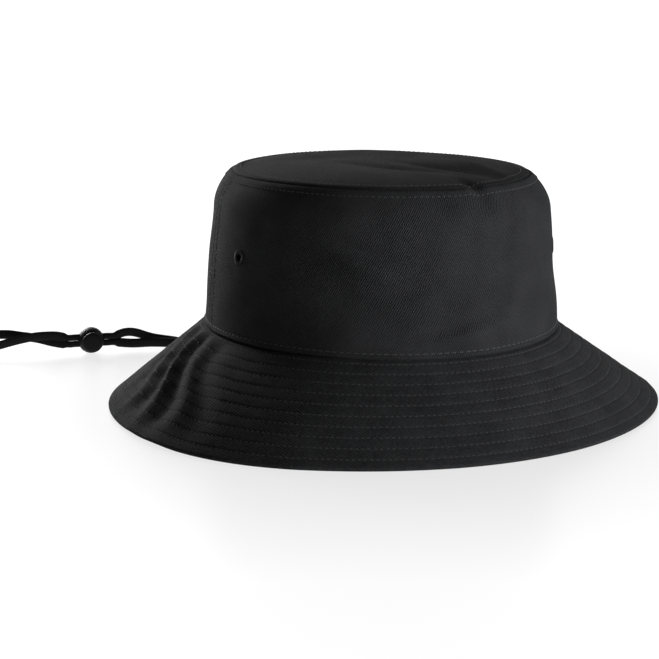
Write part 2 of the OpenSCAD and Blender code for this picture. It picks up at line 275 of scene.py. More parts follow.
HOLE = shadowed("eyelet_hole_shadow", (0.0015, 0.0015, 0.0015), (0.0005, 0.0005, 0.0005),
                (0.002, 0.002, 0.002))


# ---------------------------------------------------------------- camera, light and floor
# As a light, the world fades from behind the hat, where its direction's share of FRONT_WAY is the
# first of WORLD_FALL, to in front, where it is the second
FRONT_WAY = (-0.58, -0.74, 0.34)
WORLD_FALL = (-0.8, 0.0)
WORLD_BACK, WORLD_FRONT = 0.66, 0.07
CAMERA_AT, CAMERA_DOWN, CAMERA_TURN, CAMERA_LENS = (-0.2820, -0.9800, 0.2355), 11.09, -14.6, 109.2
LIGHTS = [  # name, place, width and height, power
    ("left_back", (-0.36, 1.0, 0.36), (0.35, 0.35), 16),
    ("right_side", (0.85, -0.95, 0.14), (0.4, 0.2), 26)]
LIGHTS_AIM = (0, 0, 0.07)
FLOOR_HALF = 8.0
# The floor glows less within these distances of the hat: a painted shadow under it
SHADOW_GLOW_NEAR, SHADOW_GLOW_FAR = (0.15, 0.755), (0.31, 0.925)     # distance from the hat's middle, strength


def add_camera():
    data = bpy.data.cameras.new("camera")
    data.sensor_width, data.lens = 36, CAMERA_LENS
    camera = bpy.data.objects.new("camera", data)
    camera.location = CAMERA_AT
    camera.rotation_euler = (math.radians(90 - CAMERA_DOWN), 0, math.radians(CAMERA_TURN))
    bpy.context.collection.objects.link(camera)
    bpy.context.scene.camera = camera


def add_light(name, place, size, power):
    data = bpy.data.lights.new(name, "AREA")
    data.shape, data.size, data.size_y, data.energy = "RECTANGLE", size[0], size[1], power
    light = bpy.data.objects.new(name, data)
    light.location = place
    way = np.array(LIGHTS_AIM) - np.array(place)
    flat = math.hypot(way[0], way[1])
    light.rotation_euler = (math.atan2(flat, -way[2]), 0, math.atan2(way[1], way[0]) - math.pi / 2)
    bpy.context.collection.objects.link(light)


def add_world():
    """White wherever the camera looks; as a light it is bright behind the hat and dim in front."""
    world = bpy.data.worlds.new("studio")
    world.use_nodes = True
    bpy.context.scene.world = world
    tree = world.node_tree
    place = tree.nodes.new("ShaderNodeTexCoord")
    toward = tree.nodes.new("ShaderNodeVectorMath")
    toward.operation = "DOT_PRODUCT"
    toward.inputs[1].default_value = FRONT_WAY
    fall = tree.nodes.new("ShaderNodeMapRange")
    for i, value in enumerate((*WORLD_FALL, WORLD_BACK, WORLD_FRONT), 1):
        fall.inputs[i].default_value = value
    ray = tree.nodes.new("ShaderNodeLightPath")
    shown = tree.nodes.new("ShaderNodeMix")
    shown.inputs[3].default_value = 1.0
    tree.links.new(place.outputs["Generated"], toward.inputs[0])
    tree.links.new(toward.outputs["Value"], fall.inputs[0])
    tree.links.new(ray.outputs["Is Camera Ray"], shown.inputs[0])
    tree.links.new(fall.outputs[0], shown.inputs[2])
    tree.links.new(shown.outputs[0], tree.nodes["Background"].inputs[1])
    tree.nodes["Background"].inputs[0].default_value = (1, 1, 1, 1)


def add_floor():
    """A lit table of pale acrylic, mirroring the hat faintly and glowing less near it: painted
    shadow.
    """
    half = FLOOR_HALF
    corners = [(-half, -half, 0), (half, -half, 0), (half, half, 0), (-half, half, 0)]
    mesh = bpy.data.meshes.new("floor")
    mesh.from_pydata(corners, [], [(0, 1, 2, 3)])
    floor = bpy.data.objects.new("floor", mesh)
    bpy.context.collection.objects.link(floor)
    n = Nodes("floor_acrylic", (0.06, 0.06, 0.06), 0.3)
    away = n.add("ShaderNodeVectorMath", {0: n.place()}, operation="LENGTH").outputs["Value"]
    glow_and_painted_shadow = n.add("ShaderNodeMapRange", {0: away, 1: SHADOW_GLOW_NEAR[0], 2: SHADOW_GLOW_FAR[0],
                                        3: SHADOW_GLOW_NEAR[1], 4: SHADOW_GLOW_FAR[1]}).outputs[0]
    # Painted shadow: the floor's emission is weaker close to the hat
    n.link(glow_and_painted_shadow, "Emission Strength")
    n.fix({"Specular IOR Level": 0.55, "Emission Color": (1, 1, 1, 1)})
    mesh.materials.append(n.material)


def add_studio():
    add_world()
    add_floor()
    bpy.context.scene.view_settings.view_transform = "Standard"
    for light in LIGHTS:
        add_light(*light)


add_camera()
add_studio()


# ---------------------------------------------------------------- meshes
def make(name, points, faces, material, body="hat", cloth=None, smooth=True):
    """A piece from points in millimetres. cloth is each point's place on the flat cloth."""
    mesh = bpy.data.meshes.new(name)
    mesh.from_pydata((np.asarray(points, float) * MM).tolist(), [], faces)
    if cloth is not None:
        layer = mesh.attributes.new("cloth", "FLOAT_VECTOR", "POINT")
        layer.data.foreach_set("vector", np.asarray(cloth, np.float32).ravel())
    mesh.materials.append(material)
    mesh.shade_smooth() if smooth else mesh.shade_flat()
    mesh.validate()
    mesh.update()
    piece = bpy.data.objects.new(name, mesh)
    bpy.context.collection.objects.link(piece)
    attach(piece, body)
    return piece


def grid_faces(rows, columns, round_rows=False, round_columns=False):
    """Quads over a grid whose point (i, j) has the number i * columns + j."""
    i = np.arange(rows if round_rows else rows - 1)
    j = np.arange(columns if round_columns else columns - 1)
    i, j = np.meshgrid(i, j, indexing="ij")
    k, m = (i + 1) % rows, (j + 1) % columns
    corners = [i * columns + j, k * columns + j, k * columns + m, i * columns + m]
    return np.stack(corners, -1).reshape(-1, 4)


def end_faces(rows, columns):
    """The first and the last row of such a grid, each as one face."""
    return [list(range(columns)), list(range((rows - 1) * columns, rows * columns))[::-1]]


def turned_over(faces):
    return [face[::-1] for face in faces]


def shell(name, theta, surface, section, material, closed=False, flip=False, cloth_at=None):
    """Sweeps a closed section round the hat. section is a list of (along, offset, turn).
    surface(theta, along, offset, turn) gives the points and cloth_at their places on the cloth."""
    along, offset, turn = (np.array(v, float)[None, :] for v in zip(*section))
    points = surface(theta[:, None], along, offset, turn)
    rows, columns = points.shape[:2]
    faces = grid_faces(rows, columns, closed, True).tolist()
    if not closed:
        faces += end_faces(rows, columns)
    if flip:
        faces = turned_over(faces)
    if cloth_at is None:
        cloth = np.broadcast_arrays(round_length(theta)[:, None], along, offset)
        cloth = np.stack(cloth, -1)
    else:
        cloth = cloth_at(theta[:, None], along, offset, turn)
    return make(name, points.reshape(-1, 3), faces, material, cloth=cloth.reshape(-1, 3))


# ---------------------------------------------------------------- the hat's shape
def oval(theta, reach):
    """A point a distance outside the base oval, where the oval faces theta."""
    c, s = np.cos(theta), np.sin(theta)
    end = np.abs(s) * 3 > np.abs(c) * 4
    x = np.where(end, (END_RADIUS + reach) * c, (SIDE_RADIUS + reach) * c - np.sign(c) * SIDE_X)
    y = np.where(end, np.sign(s) * END_Y + (END_RADIUS + reach) * s, (SIDE_RADIUS + reach) * s)
    return x, y


def lengths(points):
    """How far along a line of points each of them lies."""
    return np.concatenate([[0], np.cumsum(np.linalg.norm(np.diff(points, axis=0), axis=1))])


THETAS = np.linspace(-TURN, 2 * TURN, 5401)
LENGTHS = lengths(np.stack(oval(THETAS, 0), -1))


def round_length(theta):
    """How far round the base oval an angle lies."""
    return np.interp(theta, THETAS, LENGTHS)


def bell(x, middle, width):
    return np.exp(-((x - middle) / width) ** 2)


def around(theta, middle):
    """Degrees from the angle middle, between -180 and 180."""
    return (np.degrees(theta) - middle + 180) % 360 - 180


def step(x, low, high):
    u = np.clip((x - low) / (high - low), 0, 1)
    return u * u * (3 - 2 * u)


def waves(theta, along, seed, size):
    """Soft, seamless unevenness of hand-handled cloth."""
    rng = np.random.default_rng(seed)
    total = 0
    for k in (3, 5, 8, 12, 17):
        a, b, c = rng.uniform(0, TURN, 3)
        total = total + np.sin(k * theta + a + 0.04 * k * along / size * np.sin(b)) \
            * np.sin(along / size * TURN * (0.3 + 0.12 * k) + c) / k ** 0.5
    return total / 2


def brim_reach(theta):
    """The brim was laid down a little skewed, so it reaches further on some sides."""
    return (BRIM_REACH + 0.4 + 3.3 * np.cos(2 * theta) + 5.6 * np.sin(2 * theta)
            + 3.1 * np.cos(theta) + 1.1 * np.sin(theta) + 5 * bell(around(theta, 220), 0, 20))


def row_place(i):
    """A stitch row's place on the brim, 0 at the crown and 1 at the edge."""
    return (FIRST_ROW + ROW_SPACING * i) / BRIM_LENGTH


BRIM_FOLDS = [  # height, then place and width in degrees, beside the side seam's pucker
    (1.7, 0, 2.0), (-1.5, 5, 2.2), (1.1, 10.5, 2.4), (-0.9, 16, 3), (-1.3, -5, 2.6),
    (0.8, -10, 2.2), (-0.6, -16, 3), (0.4, 23, 4)]


def brim_relief(theta, s):
    """How far the whole brim stands out from its cone: puckers at the side seams and soft waves."""
    fade = step(s, 0, 0.12)
    calm = 1 - 0.8 * step(s, 0.8, 1)
    right = around(theta, 180) - 17 * s
    left = around(theta, 0) - 6 * s
    bent = right + 2.5 * np.sin(2.2 * s * math.pi)
    folds = sum(height * bell(bent, place, width) for height, place, width in BRIM_FOLDS)
    crinkle = 0.3 * np.sin(np.radians(right) * 46 + 9 * s) * bell(right, -6, 15) \
        * np.sin(13 * s + np.radians(right) * 14)
    out = 0.25 * waves(theta, s * BRIM_LENGTH, 5, 40) * fade
    out = out + (folds * (0.6 + 0.6 * bell(s, 0.5, 0.35)) + crinkle) * fade * calm
    return out + 0.45 * np.cos(left / 4.6 * math.pi) * bell(left, 0, 9) * fade


def quilting(theta, s):
    """The valleys that the stitch rows pull into the brim, with the cloth between them proud."""
    d = s * BRIM_LENGTH - FIRST_ROW
    nearest = np.clip(np.round(d / ROW_SPACING), 0, STITCH_ROWS - 1) * ROW_SPACING
    away = d - nearest
    dimple = 1 + 0.25 * np.cos(round_length(theta) / STITCH_PITCH * TURN)
    base_crease = 1.1 * bell(s, 0, 0.02)
    return 0.42 * bell(away, 0, 0.7) * dimple - 0.12 + base_crease


def brim_point(theta, s, offset, turn):
    """A point of the brim: offset from the middle of its thickness, turned from its upper side
    (0) over its edge (90) to its under side (180)."""
    reach = brim_reach(theta)
    length = np.hypot(reach, BRIM_DROP)
    out_r, out_z = BRIM_DROP / length, reach / length
    down_r, down_z = reach / length, -BRIM_DROP / length
    c, d = np.cos(np.radians(turn)), np.sin(np.radians(turn))
    raised = brim_relief(theta, s) - quilting(theta, s) * c * offset / EDGE_RADIUS
    # The brim is turned up a little behind the wearer's right ear
    lift = 6.6 * bell(around(theta, 113.5), 0, 15) * step(s, 0.1, 1.05)
    lift = lift + 0.5 * bell(around(theta, 205), 0, 10) * s
    out = offset * c - EDGE_RADIUS + raised
    r = reach * s + out * out_r + offset * d * down_r
    z = BASE_Z - BRIM_DROP * s + out * out_z + offset * d * down_z + lift
    z = np.maximum(z, 0.05 * (2 - c))
    return stacked(*oval(theta, r), z)


def stacked(x, y, z):
    return np.stack(np.broadcast_arrays(x, y, z), -1)


BEND_START = 240            # the place in the crown's line where the shoulder's bend begins


def wall_line():
    """The crown's outer line from the base seam to the tip seam, as reach and height, with the
    length along it and its direction, smoothed where the bend begins."""
    u = np.linspace(0, 1, BEND_START + 1)
    wall = np.stack([-WALL_LEAN * u, BASE_Z + (SHOULDER_Z - BASE_Z) * u], -1)
    a = np.linspace(0, SHOULDER_ANGLE, 121)[1:]
    bend = np.stack([SHOULDER_REACH + SHOULDER_RADIUS * np.cos(a),
                     SHOULDER_Z + SHOULDER_RADIUS * np.sin(a)], -1)
    line = np.concatenate([wall, bend])
    at = lengths(line)
    way = np.gradient(line, at, axis=0)
    for _ in range(60):
        way[1:-1] = (way[:-2] + way[2:] + 2 * way[1:-1]) / 4
    way /= np.linalg.norm(way, axis=1, keepdims=True)
    return line, at, way


WALL_LINE, WALL_AT, WALL_WAY = wall_line()
WALL_END = WALL_AT[-1]
EYELET_AT = (EYELET_Z - BASE_Z) / math.cos(math.atan2(WALL_LEAN, SHOULDER_Z - BASE_Z))

WALL_SWELLS = [  # height; angle and width in degrees; length up the wall and width
    (1.7, 352, 24, 14, 16), (1.7, 285, 14, 11, 8), (1.4, 265, 8, 14, 7), (-0.9, 232, 9, 38, 26),
    (1.4, 350, 48, 56, 18), (0.9, 195, 40, 36, 18)]


def seam_allowance(away, full):
    """The cloth turned under beside the tip seam, at its full height from full millimetres on,
    and the valleys of the seam and its stitches."""
    ridge = step(away, 0.2, full) * (1 - step(away, TIP_STITCH - 0.4, TIP_STITCH + 1.5))
    return ridge, 0.55 * bell(away, 0, 0.7) + 0.3 * bell(away, TIP_STITCH, 0.7)


def wall_relief(theta, t):
    """How far the crown's wall stands out from its plain line."""
    high = t / WALL_END
    away = WALL_END - t
    out = 0.75 * waves(theta, t, 11, 60) * step(high, 0, 0.2) * (1 - 0.5 * step(high, 0.8, 1))
    for height, middle, width, at, tall in WALL_SWELLS:
        out = out + height * bell(around(theta, middle), 0, width) * bell(t, at, tall)
    out = out + 0.2 * bell(t, 56, 18)
    # A slanting dent in front and two soft creases: one falls across the front, one rises from
    # the base seam
    out = out - 1.9 * bell(around(theta, 262) + 0.45 * (t - 45), 0, 12) * bell(t, 46, 11)
    fall = t - 60 + 0.45 * around(theta, 222)
    crease = 1.3 * bell(fall, -8, 4) - 1.5 * bell(fall, 0, 3.4)
    out = out + crease * bell(around(theta, 242), 0, 17)
    rise = t - 6 - 0.25 * around(theta, 262)
    crease = 1.2 * bell(rise, 0, 2.6) - 0.9 * bell(rise, 5, 3)
    out = out + crease * bell(around(theta, 276), 0, 13)
    # The tip seam and the base seam
    ridge, valleys = seam_allowance(away, 1.2)
    out = out + 0.35 * ridge - valleys
    out = out + 0.75 * bell(t, 0.9, 1.0) - 0.35 * bell(t, BASE_STITCH, 0.6)
    # Side seams, sewn flat to the front, and the pucker on the tip seam
    for _, seam in SEAMS:
        d = around(theta, seam) * 1.75
        out = out - 0.5 * bell(d, 0, 0.5) + 0.25 * bell(d, 3, 2.6) - 0.2 * bell(np.abs(d), 5.5, 0.6)
    pucker = around(theta, PUCKER_WAY)
    out = out - 1.7 * bell(pucker, 0, 3.6) * bell(away, 0, 8)
    return out + 0.5 * bell(pucker, -5, 3) * bell(away, 2, 6)


def wall_point(theta, t, depth, turn=0):
    """A point of the crown's wall, t up from the base seam. turn is not used."""
    reach, z = (np.interp(t, WALL_AT, WALL_LINE[:, k]) for k in (0, 1))
    way_r, way_z = (np.interp(t, WALL_AT, WALL_WAY[:, k]) for k in (0, 1))
    out = wall_relief(theta, t) - depth
    slump = 0.3 * np.cos(theta - SLUMP_WAY) * step(t, 55, WALL_END)
    return stacked(*oval(theta, reach + way_z * out), z - way_r * out + slump)


TIP_MEAN = 78.0
TIP_DENTS = [  # x, y, direction, half-length, half-width, depth
    (26, -34, 118, 26, 6, 3.2), (40, -28, 105, 26, 5.5, -1.8), (2, -32, 128, 30, 6, 1.9),
    (-22, -42, 100, 18, 8, -0.5), (30, 30, 60, 26, 10, 0.9), (-30, 22, 20, 30, 12, 0.7)]


def tip_point(theta, d, depth, turn=0):
    """A point of the crown tip, d in from its seam towards the middle. turn is not used."""
    k = 1 - d / TIP_MEAN
    x, y = (v * k for v in oval(theta, SEAM_REACH + 0 * d))
    z = SEAM_Z + TIP_RISE * (1 - (1 - np.minimum(d / TIP_CURVE, 1)) ** 2)
    z = z + 0.3 * np.cos(theta - SLUMP_WAY) * k + 0.345 * bell(d, 0, 4)
    ridge, valleys = seam_allowance(d, 1.4)
    z = z + 0.4 * ridge - valleys
    z = z - 2.1 * bell(around(theta, PUCKER_WAY), 0, 4.2) * bell(d, 0, 12)
    for px, py, way, long, wide, deep in TIP_DENTS:
        c, s = math.cos(math.radians(way)), math.sin(math.radians(way))
        u, v = (x - px) * c + (y - py) * s, (y - py) * c - (x - px) * s
        z = z - deep * bell(u, 0, long) * bell(v, 0, wide) * step(d, 0, 7)
    z = z + 0.22 * waves(theta, d, 21, 60) * step(d, 2, 12) * k
    slope = SHOULDER_ANGLE * (1 - step(d, 0, 3))
    inward = depth * np.sin(slope) * 0.75
    return stacked(x - inward * np.cos(theta), y - inward * np.sin(theta),
                   z - depth * np.maximum(np.cos(slope), 0.6))


# ---------------------------------------------------------------- the hat's cloth pieces
def span(low, high, count):
    """Angles in degrees, evenly spaced along the oval, in radians."""
    ends = np.interp(np.radians([low, high]), THETAS, LENGTHS)
    return np.interp(np.linspace(ends[0], ends[1], count), LENGTHS, THETAS)


def brim_cloth(theta, s, offset, turn):
    """The brim's cloth is cut as one flat ring a side, so its wales stay straight across it."""
    r = 108 + s * BRIM_LENGTH + np.radians(90 - np.abs(90 - turn)) * EDGE_RADIUS
    a = theta * 0.8
    return stacked(r * np.cos(a), r * np.sin(a), offset)


def brim_layers():
    thin = EDGE_RADIUS - BRIM_CLOTH
    s = np.concatenate([[-0.04, -0.02], np.linspace(0, 1, 125)])
    turns = np.linspace(15, 90, 6)
    top = [(v, EDGE_RADIUS, 0) for v in s] + [(1, EDGE_RADIUS, a) for a in turns] \
        + [(1, thin, a) for a in turns[::-2]] + [(v, thin, 0) for v in s[::-4]]
    under = [(v, EDGE_RADIUS, 180) for v in s[::2]] + [(1, EDGE_RADIUS, 180 - a) for a in turns] \
        + [(1, thin, 180 - a) for a in turns[::-2]] + [(v, thin, 180) for v in s[::-4]]
    mid = np.linspace(0.03, 0.985, 40)
    lining = [(v, thin * 0.95, 0) for v in mid] + [(v, thin * 0.95, 180) for v in mid[::-1]]
    layers = [("brim_top", top, TWILL, "twill_cloth", False),
              ("brim_under", under, TWILL, "twill_cloth", True),
              ("brim_lining", lining, LINING, "brim_stiffener", False)]
    for half, low in (("back", 0.0), ("front", 180.0)):
        theta = span(low, low + 180, 470)
        for layer, section, material, slot, flip in layers:
            name = f"{layer}_{half}"
            piece = shell(f"{name}_cloth", theta, brim_point, section, material,
                          flip=flip, cloth_at=brim_cloth)
            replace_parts(piece, name)


def side_bands():
    t = np.linspace(0, WALL_END, 92)
    section = [(v, 0, 0) for v in t] + [(v, BAND_THICK, 0) for v in t[::-3]]
    for half, low in (("back", 0.0), ("front", 180.0)):
        theta = span(low, low + 180, 300)
        piece = shell(f"side_band_{half}_cloth", theta, wall_point, section, TWILL)
        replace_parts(piece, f"side_band_{half}")


def crown_tip():
    """Rings from the seam inward, above and then back below, each closed by a middle point."""
    theta = span(0, 360, 481)[:-1, None]
    d = TIP_MEAN * np.concatenate([np.linspace(0, 0.12, 15), np.linspace(0.12, 0.985, 62)[1:]])
    rings = [(v, 0) for v in d] + [(v, TIP_THICK) for v in d[::-2]]
    along, depth = (np.array(v)[None, :] for v in zip(*rings))
    points = tip_point(theta, along, depth)
    rows, columns = points.shape[:2]
    inner = len(d) - 1          # the innermost ring above; the next one is below
    top = tip_point(theta[0], np.array([TIP_MEAN]), np.array([0.0]))[0, 2]
    points = np.concatenate([points.reshape(-1, 3), [[0, 0, top], [0, 0, top - TIP_THICK]]])
    middle = np.full(rows, rows * columns)

    quads = grid_faces(rows, columns, True, False).reshape(rows, columns - 1, 4)
    i = np.arange(rows) * columns
    k = np.roll(i, -1)
    rim = np.stack([i + columns - 1, k + columns - 1, k, i], -1)
    above = np.stack([i + inner, k + inner, middle], -1)
    below = np.stack([k + inner + 1, i + inner + 1, middle + 1], -1)
    faces = np.delete(quads, inner, axis=1).reshape(-1, 4).tolist() + rim.tolist()
    faces += above.tolist() + below.tolist()
    # The tip takes the darker twill, which is painted shade
    piece = make("crown_tip_cloth", points, faces, SHADED_TIP_TWILL, cloth=points)
    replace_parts(piece, "crown_tip")


def tape_section(low, high, thick, steps):
    """A tape flat against the inside of the band, from low to high."""
    t, outer = np.linspace(low, high, steps), BAND_THICK + 0.12
    return [(v, outer, 0) for v in t] + [(v, outer + thick, 0) for v in t[::-1]]


def inner_layers():
    around_all = span(0, 360, 361)[:-1]
    outer = [(0.5, 1.35, 0), (3, 1.35, 0), (3.6, 1.6, 0)] \
        + [(v, 1.6, 0) for v in np.linspace(5, 31, 14)]
    fold = [(32.4, 1.75, 0), (32.8, 2.2, 0), (32.4, 2.7, 0)]
    inner = [(v, 2.8 + 0.12 * math.sin(v), 0) for v in np.linspace(31, 1, 40)] + [(0.5, 2.6, 0)]
    piece = shell("sweatband_cloth", around_all, wall_point, outer + fold + inner, BAND_CLOTH,
                  closed=True)
    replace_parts(piece, "sweatband")
    low, high = (WALL_AT[BEND_START] + SHOULDER_RADIUS * math.radians(a) for a in (26, 50))
    piece = shell("tip_seam_tape_cloth", around_all, wall_point, tape_section(low, high, 0.7, 9),
                  TAPE, closed=True)
    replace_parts(piece, "tip_seam_tape")
    for name, seam in SEAMS:
        theta = span(seam - 2.7, seam + 2.7, 9)
        piece = shell(f"side_seam_tape_{name}_cloth", theta, wall_point,
                      tape_section(34.5, 58, 0.6, 20), TAPE)
        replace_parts(piece, f"side_seam_tape_{name}")


brim_layers()
side_bands()
crown_tip()
inner_layers()


# ---------------------------------------------------------------- stitches
STITCH_RINGS = [  # place along a stitch, width and rise, as shares of its length and radius
    (0.0, 0.35, -0.55), (0.12, 0.85, -0.1), (0.5, 1.0, 0.28), (0.88, 0.85, -0.1),
    (1.0, 0.35, -0.55)]
STITCH_SIDES = 6


def capsules(name, starts, ends, ups, radius=THREAD):
    """One mesh of many short rounded stitches, each sunk a little at its ends."""
    starts, ends, ups = (np.asarray(v, float) for v in (starts, ends, ups))
    axis = ends - starts
    length = np.linalg.norm(axis, axis=1, keepdims=True)
    axis = axis / length
    side = np.cross(axis, ups)
    side /= np.linalg.norm(side, axis=1, keepdims=True)
    up = np.cross(side, axis)
    points = []
    for along, wide, rise in STITCH_RINGS:
        middle = starts + axis * length * along + up * radius * rise
        for a in TURN * np.arange(STITCH_SIDES) / STITCH_SIDES:
            points.append(middle + radius * wide * (math.cos(a) * side + math.sin(a) * up))
    points = np.stack(points, 1)
    count, each = points.shape[:2]
    base = (np.arange(count) * each)[:, None]
    quads = grid_faces(len(STITCH_RINGS), STITCH_SIDES, False, True)[None] + base[:, None]
    first = np.arange(STITCH_SIDES) + base
    last = np.arange(each - STITCH_SIDES, each)[::-1] + base
    faces = quads.reshape(-1, 4).tolist() + first.tolist() + last.tolist()
    return make(name, points.reshape(-1, 3), faces, SPUN)


def under_point(theta, s, offset, turn):
    return brim_point(theta, s, offset, turn + 180)


OUT_STEP = {brim_point: 1.0, under_point: 1.0, wall_point: -1.0, tip_point: -1.0}


def row(surface, place, offset, seed, pitch=STITCH_PITCH, length=STITCH_LENGTH,
        jitter=STITCH_JITTER):
    """Starts, ends and upward directions of the stitches of one row round the hat."""
    rng = np.random.default_rng(seed)
    a = np.linspace(0, TURN, 2881)
    run = lengths(surface(a, np.full_like(a, place), np.full_like(a, offset), np.zeros_like(a)))
    count = int(run[-1] / pitch)
    at = (np.arange(count) + 0.5) * run[-1] / count + rng.normal(0, jitter, count)
    begin, end = (np.interp(at + way * length / 2, run, a) for way in (-1, 1))
    # On the brim a row's place is a share of the brim's length, not millimetres
    unit = 0.015 if place < 1.01 else 1
    shift = np.full(count, place) + rng.normal(0, jitter * 0.15, count) * unit
    low, zero, middle = np.full(count, offset), np.zeros(count), (begin + end) / 2
    out = surface(middle, shift, low + OUT_STEP[surface], zero) - surface(middle, shift, low, zero)
    return (surface(begin, shift, low, zero), surface(end, shift, low, zero),
            out / np.linalg.norm(out, axis=1, keepdims=True))


def joined(rows):
    return [np.concatenate(v) for v in zip(*rows)]


def side_seam_stitches():
    rows = []
    for _, seam in SEAMS:
        for away in (-3.1, 3.1):
            t = np.arange(4.5, WALL_END - 6, STITCH_PITCH)
            a = np.full_like(t, math.radians(seam + away))
            zero = np.zeros_like(t)
            p, q = wall_point(a, t, zero - 0.05), wall_point(a, t + STITCH_LENGTH, zero - 0.05)
            out = wall_point(a, t + 1, zero - 1) - wall_point(a, t + 1, zero)
            rows.append((p, q, out))
    capsules("side_seam_stitches", *joined(rows))


def sweatband_stitches():
    """Two rows that hold the sweatband's folded top and its foot."""
    rows = []
    for place in (3.2, 30.6):
        p, q, out = row(wall_point, place, 2.88, int(place), jitter=0.08)
        rows.append((p, q, -out))
    capsules("sweatband_stitches", *joined(rows))


def stitch_all():
    proud = EDGE_RADIUS + 0.05
    rows = [row(brim_point, row_place(i), proud, i) for i in range(STITCH_ROWS)]
    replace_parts(capsules("brim_stitches", *joined(rows)), "brim_stitch")
    rows = [row(under_point, row_place(i), proud, 40 + i) for i in range(STITCH_ROWS)]
    capsules("brim_stitches_under", *joined(rows))
    piece = capsules("tip_stitches_upper", *row(tip_point, TIP_STITCH, -0.2, 31))
    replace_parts(piece, "tip_stitch_upper")
    piece = capsules("tip_stitches_lower", *row(wall_point, WALL_END - TIP_STITCH, -0.14, 32))
    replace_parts(piece, "tip_stitch_lower")
    base = row(wall_point, BASE_STITCH, -0.08, 33, pitch=3.6, length=2.7)
    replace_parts(capsules("base_stitches", *base, THREAD * 1.15), "base_stitch")
    side_seam_stitches()
    sweatband_stitches()


stitch_all()


# ---------------------------------------------------------------- eyelets
def wall_frame(theta, t):
    """A point on the wall with its outward, round and upward directions."""
    a, v, zero = np.array([theta]), np.array([t]), np.array([0.0])
    p = wall_point(a, v, zero)[0]
    turn = wall_point(a + 0.01, v, zero)[0] - p
    up = wall_point(a, v + 1, zero)[0] - p
    turn, up = turn / np.linalg.norm(turn), up / np.linalg.norm(up)
    return p, np.cross(turn, up), turn, up


EYELET_RADIUS, EYELET_STRETCH = 2.8, 0.5              # the ring's middle line, an oval
EYELET_WRAPS, EYELET_WIDE, EYELET_HIGH = 44, 1.25, 0.36
HOLE_RADIUS, HOLE_WIDER = 1.7, 1.3
HOLE_SIDES, HOLE_TOP, HOLE_BOTTOM = 24, 0.05, -1.5


def eyelet_ring(name, p, out, turn, up):
    """Thread wrapped round the hole's edge, each wrap a small swelling."""
    points, sides, rings = [], 8, EYELET_WRAPS * 4
    for a in TURN * np.arange(rings) / rings:
        swell = 1 + 0.13 * math.cos(EYELET_WRAPS * a)
        radial = math.cos(a) * turn + math.sin(a) * up
        for b in TURN * np.arange(sides) / sides:
            flat, high = EYELET_WIDE * swell * math.cos(b), EYELET_HIGH * swell * math.sin(b)
            points.append(p + radial * (EYELET_RADIUS + flat) + turn * EYELET_STRETCH * math.cos(a)
                          + out * high)
    faces = grid_faces(rings, sides, True, True).tolist()
    return make(f"{name}_thread", points, faces, EYELET_SPUN)


def eyelet_hole(name, p, out, turn, up):
    """A dark plug from just above the cloth to below it: painted shade for the hole's unlit inside.
    """
    points = [p + (HOLE_WIDER * math.cos(a) * turn + math.sin(a) * up) * HOLE_RADIUS + out * h
              for h in (HOLE_TOP, HOLE_BOTTOM) for a in np.arange(HOLE_SIDES) * TURN / HOLE_SIDES]
    points += [p + out * HOLE_TOP, p + out * HOLE_BOTTOM]
    faces = grid_faces(2, HOLE_SIDES, False, True).tolist()
    i = np.arange(HOLE_SIDES)
    k = (i + 1) % HOLE_SIDES
    faces += np.stack([i, k, 0 * i + 2 * HOLE_SIDES], -1).tolist()
    faces += np.stack([HOLE_SIDES + k, HOLE_SIDES + i, 0 * i + 2 * HOLE_SIDES + 1], -1).tolist()
    # The plug is painted shade, standing where the hole shows only the dark inside
    make(f"{name}_hole", points, faces, HOLE, smooth=False)


def eyelets():
    for side, seam in SEAMS:
        for end, way in (("front", 1), ("back", -1)):
            angle = seam + EYELET_ANGLE * (way if side == "right" else -way)
            here = wall_frame(math.radians(angle), EYELET_AT)
            name = f"eyelet_{side}_{end}"
            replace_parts(eyelet_ring(name, *here), name)
            eyelet_hole(name, *here)


# ---------------------------------------------------------------- cord, lock, tabs and label
def tube_round(path, width, thick, twist, sides=16):
    """Rings of a flat cord along a path, its flat side turned by twist degrees from lying level."""
    path = np.asarray(path, float)
    tangent = np.gradient(path, axis=0)
    tangent /= np.linalg.norm(tangent, axis=1, keepdims=True)
    level = np.cross([0, 0, 1.0], tangent)
    size = np.linalg.norm(level, axis=1)
    # Where the cord runs straight up, its level direction is carried on from the nearest good point
    good = np.flatnonzero(size > 0.35)
    nearest = good[np.abs(np.arange(len(path))[:, None] - good[None]).argmin(1)]
    level = level[nearest]
    level -= (level * tangent).sum(1, keepdims=True) * tangent
    level /= np.linalg.norm(level, axis=1, keepdims=True)
    up = np.cross(tangent, level)
    a = np.radians(twist)[:, None]
    wide, high = level * np.cos(a) + up * np.sin(a), up * np.cos(a) - level * np.sin(a)
    rings = []
    for k in range(sides):
        b = TURN * k / sides
        c, s = math.cos(b), math.sin(b)
        flat = abs(c) ** 0.7 * math.copysign(1, c)
        rings.append(path + wide * (width[:, None] / 2 * flat) + high * (thick[:, None] / 2 * s))
    return np.stack(rings, 1)


def smooth_route(points, per_span=14):
    points = np.asarray(points, float)
    out = []
    for i in range(len(points) - 1):
        a, b = points[max(i - 1, 0)], points[i]
        c, d = points[i + 1], points[min(i + 2, len(points) - 1)]
        for u in np.arange(per_span) / per_span:
            out.append(0.5 * (2 * b + (c - a) * u + (2 * a - 5 * b + 4 * c - d) * u ** 2
                              + (3 * b - a - 3 * c + d) * u ** 3))
    return np.array(out + [points[-1]])


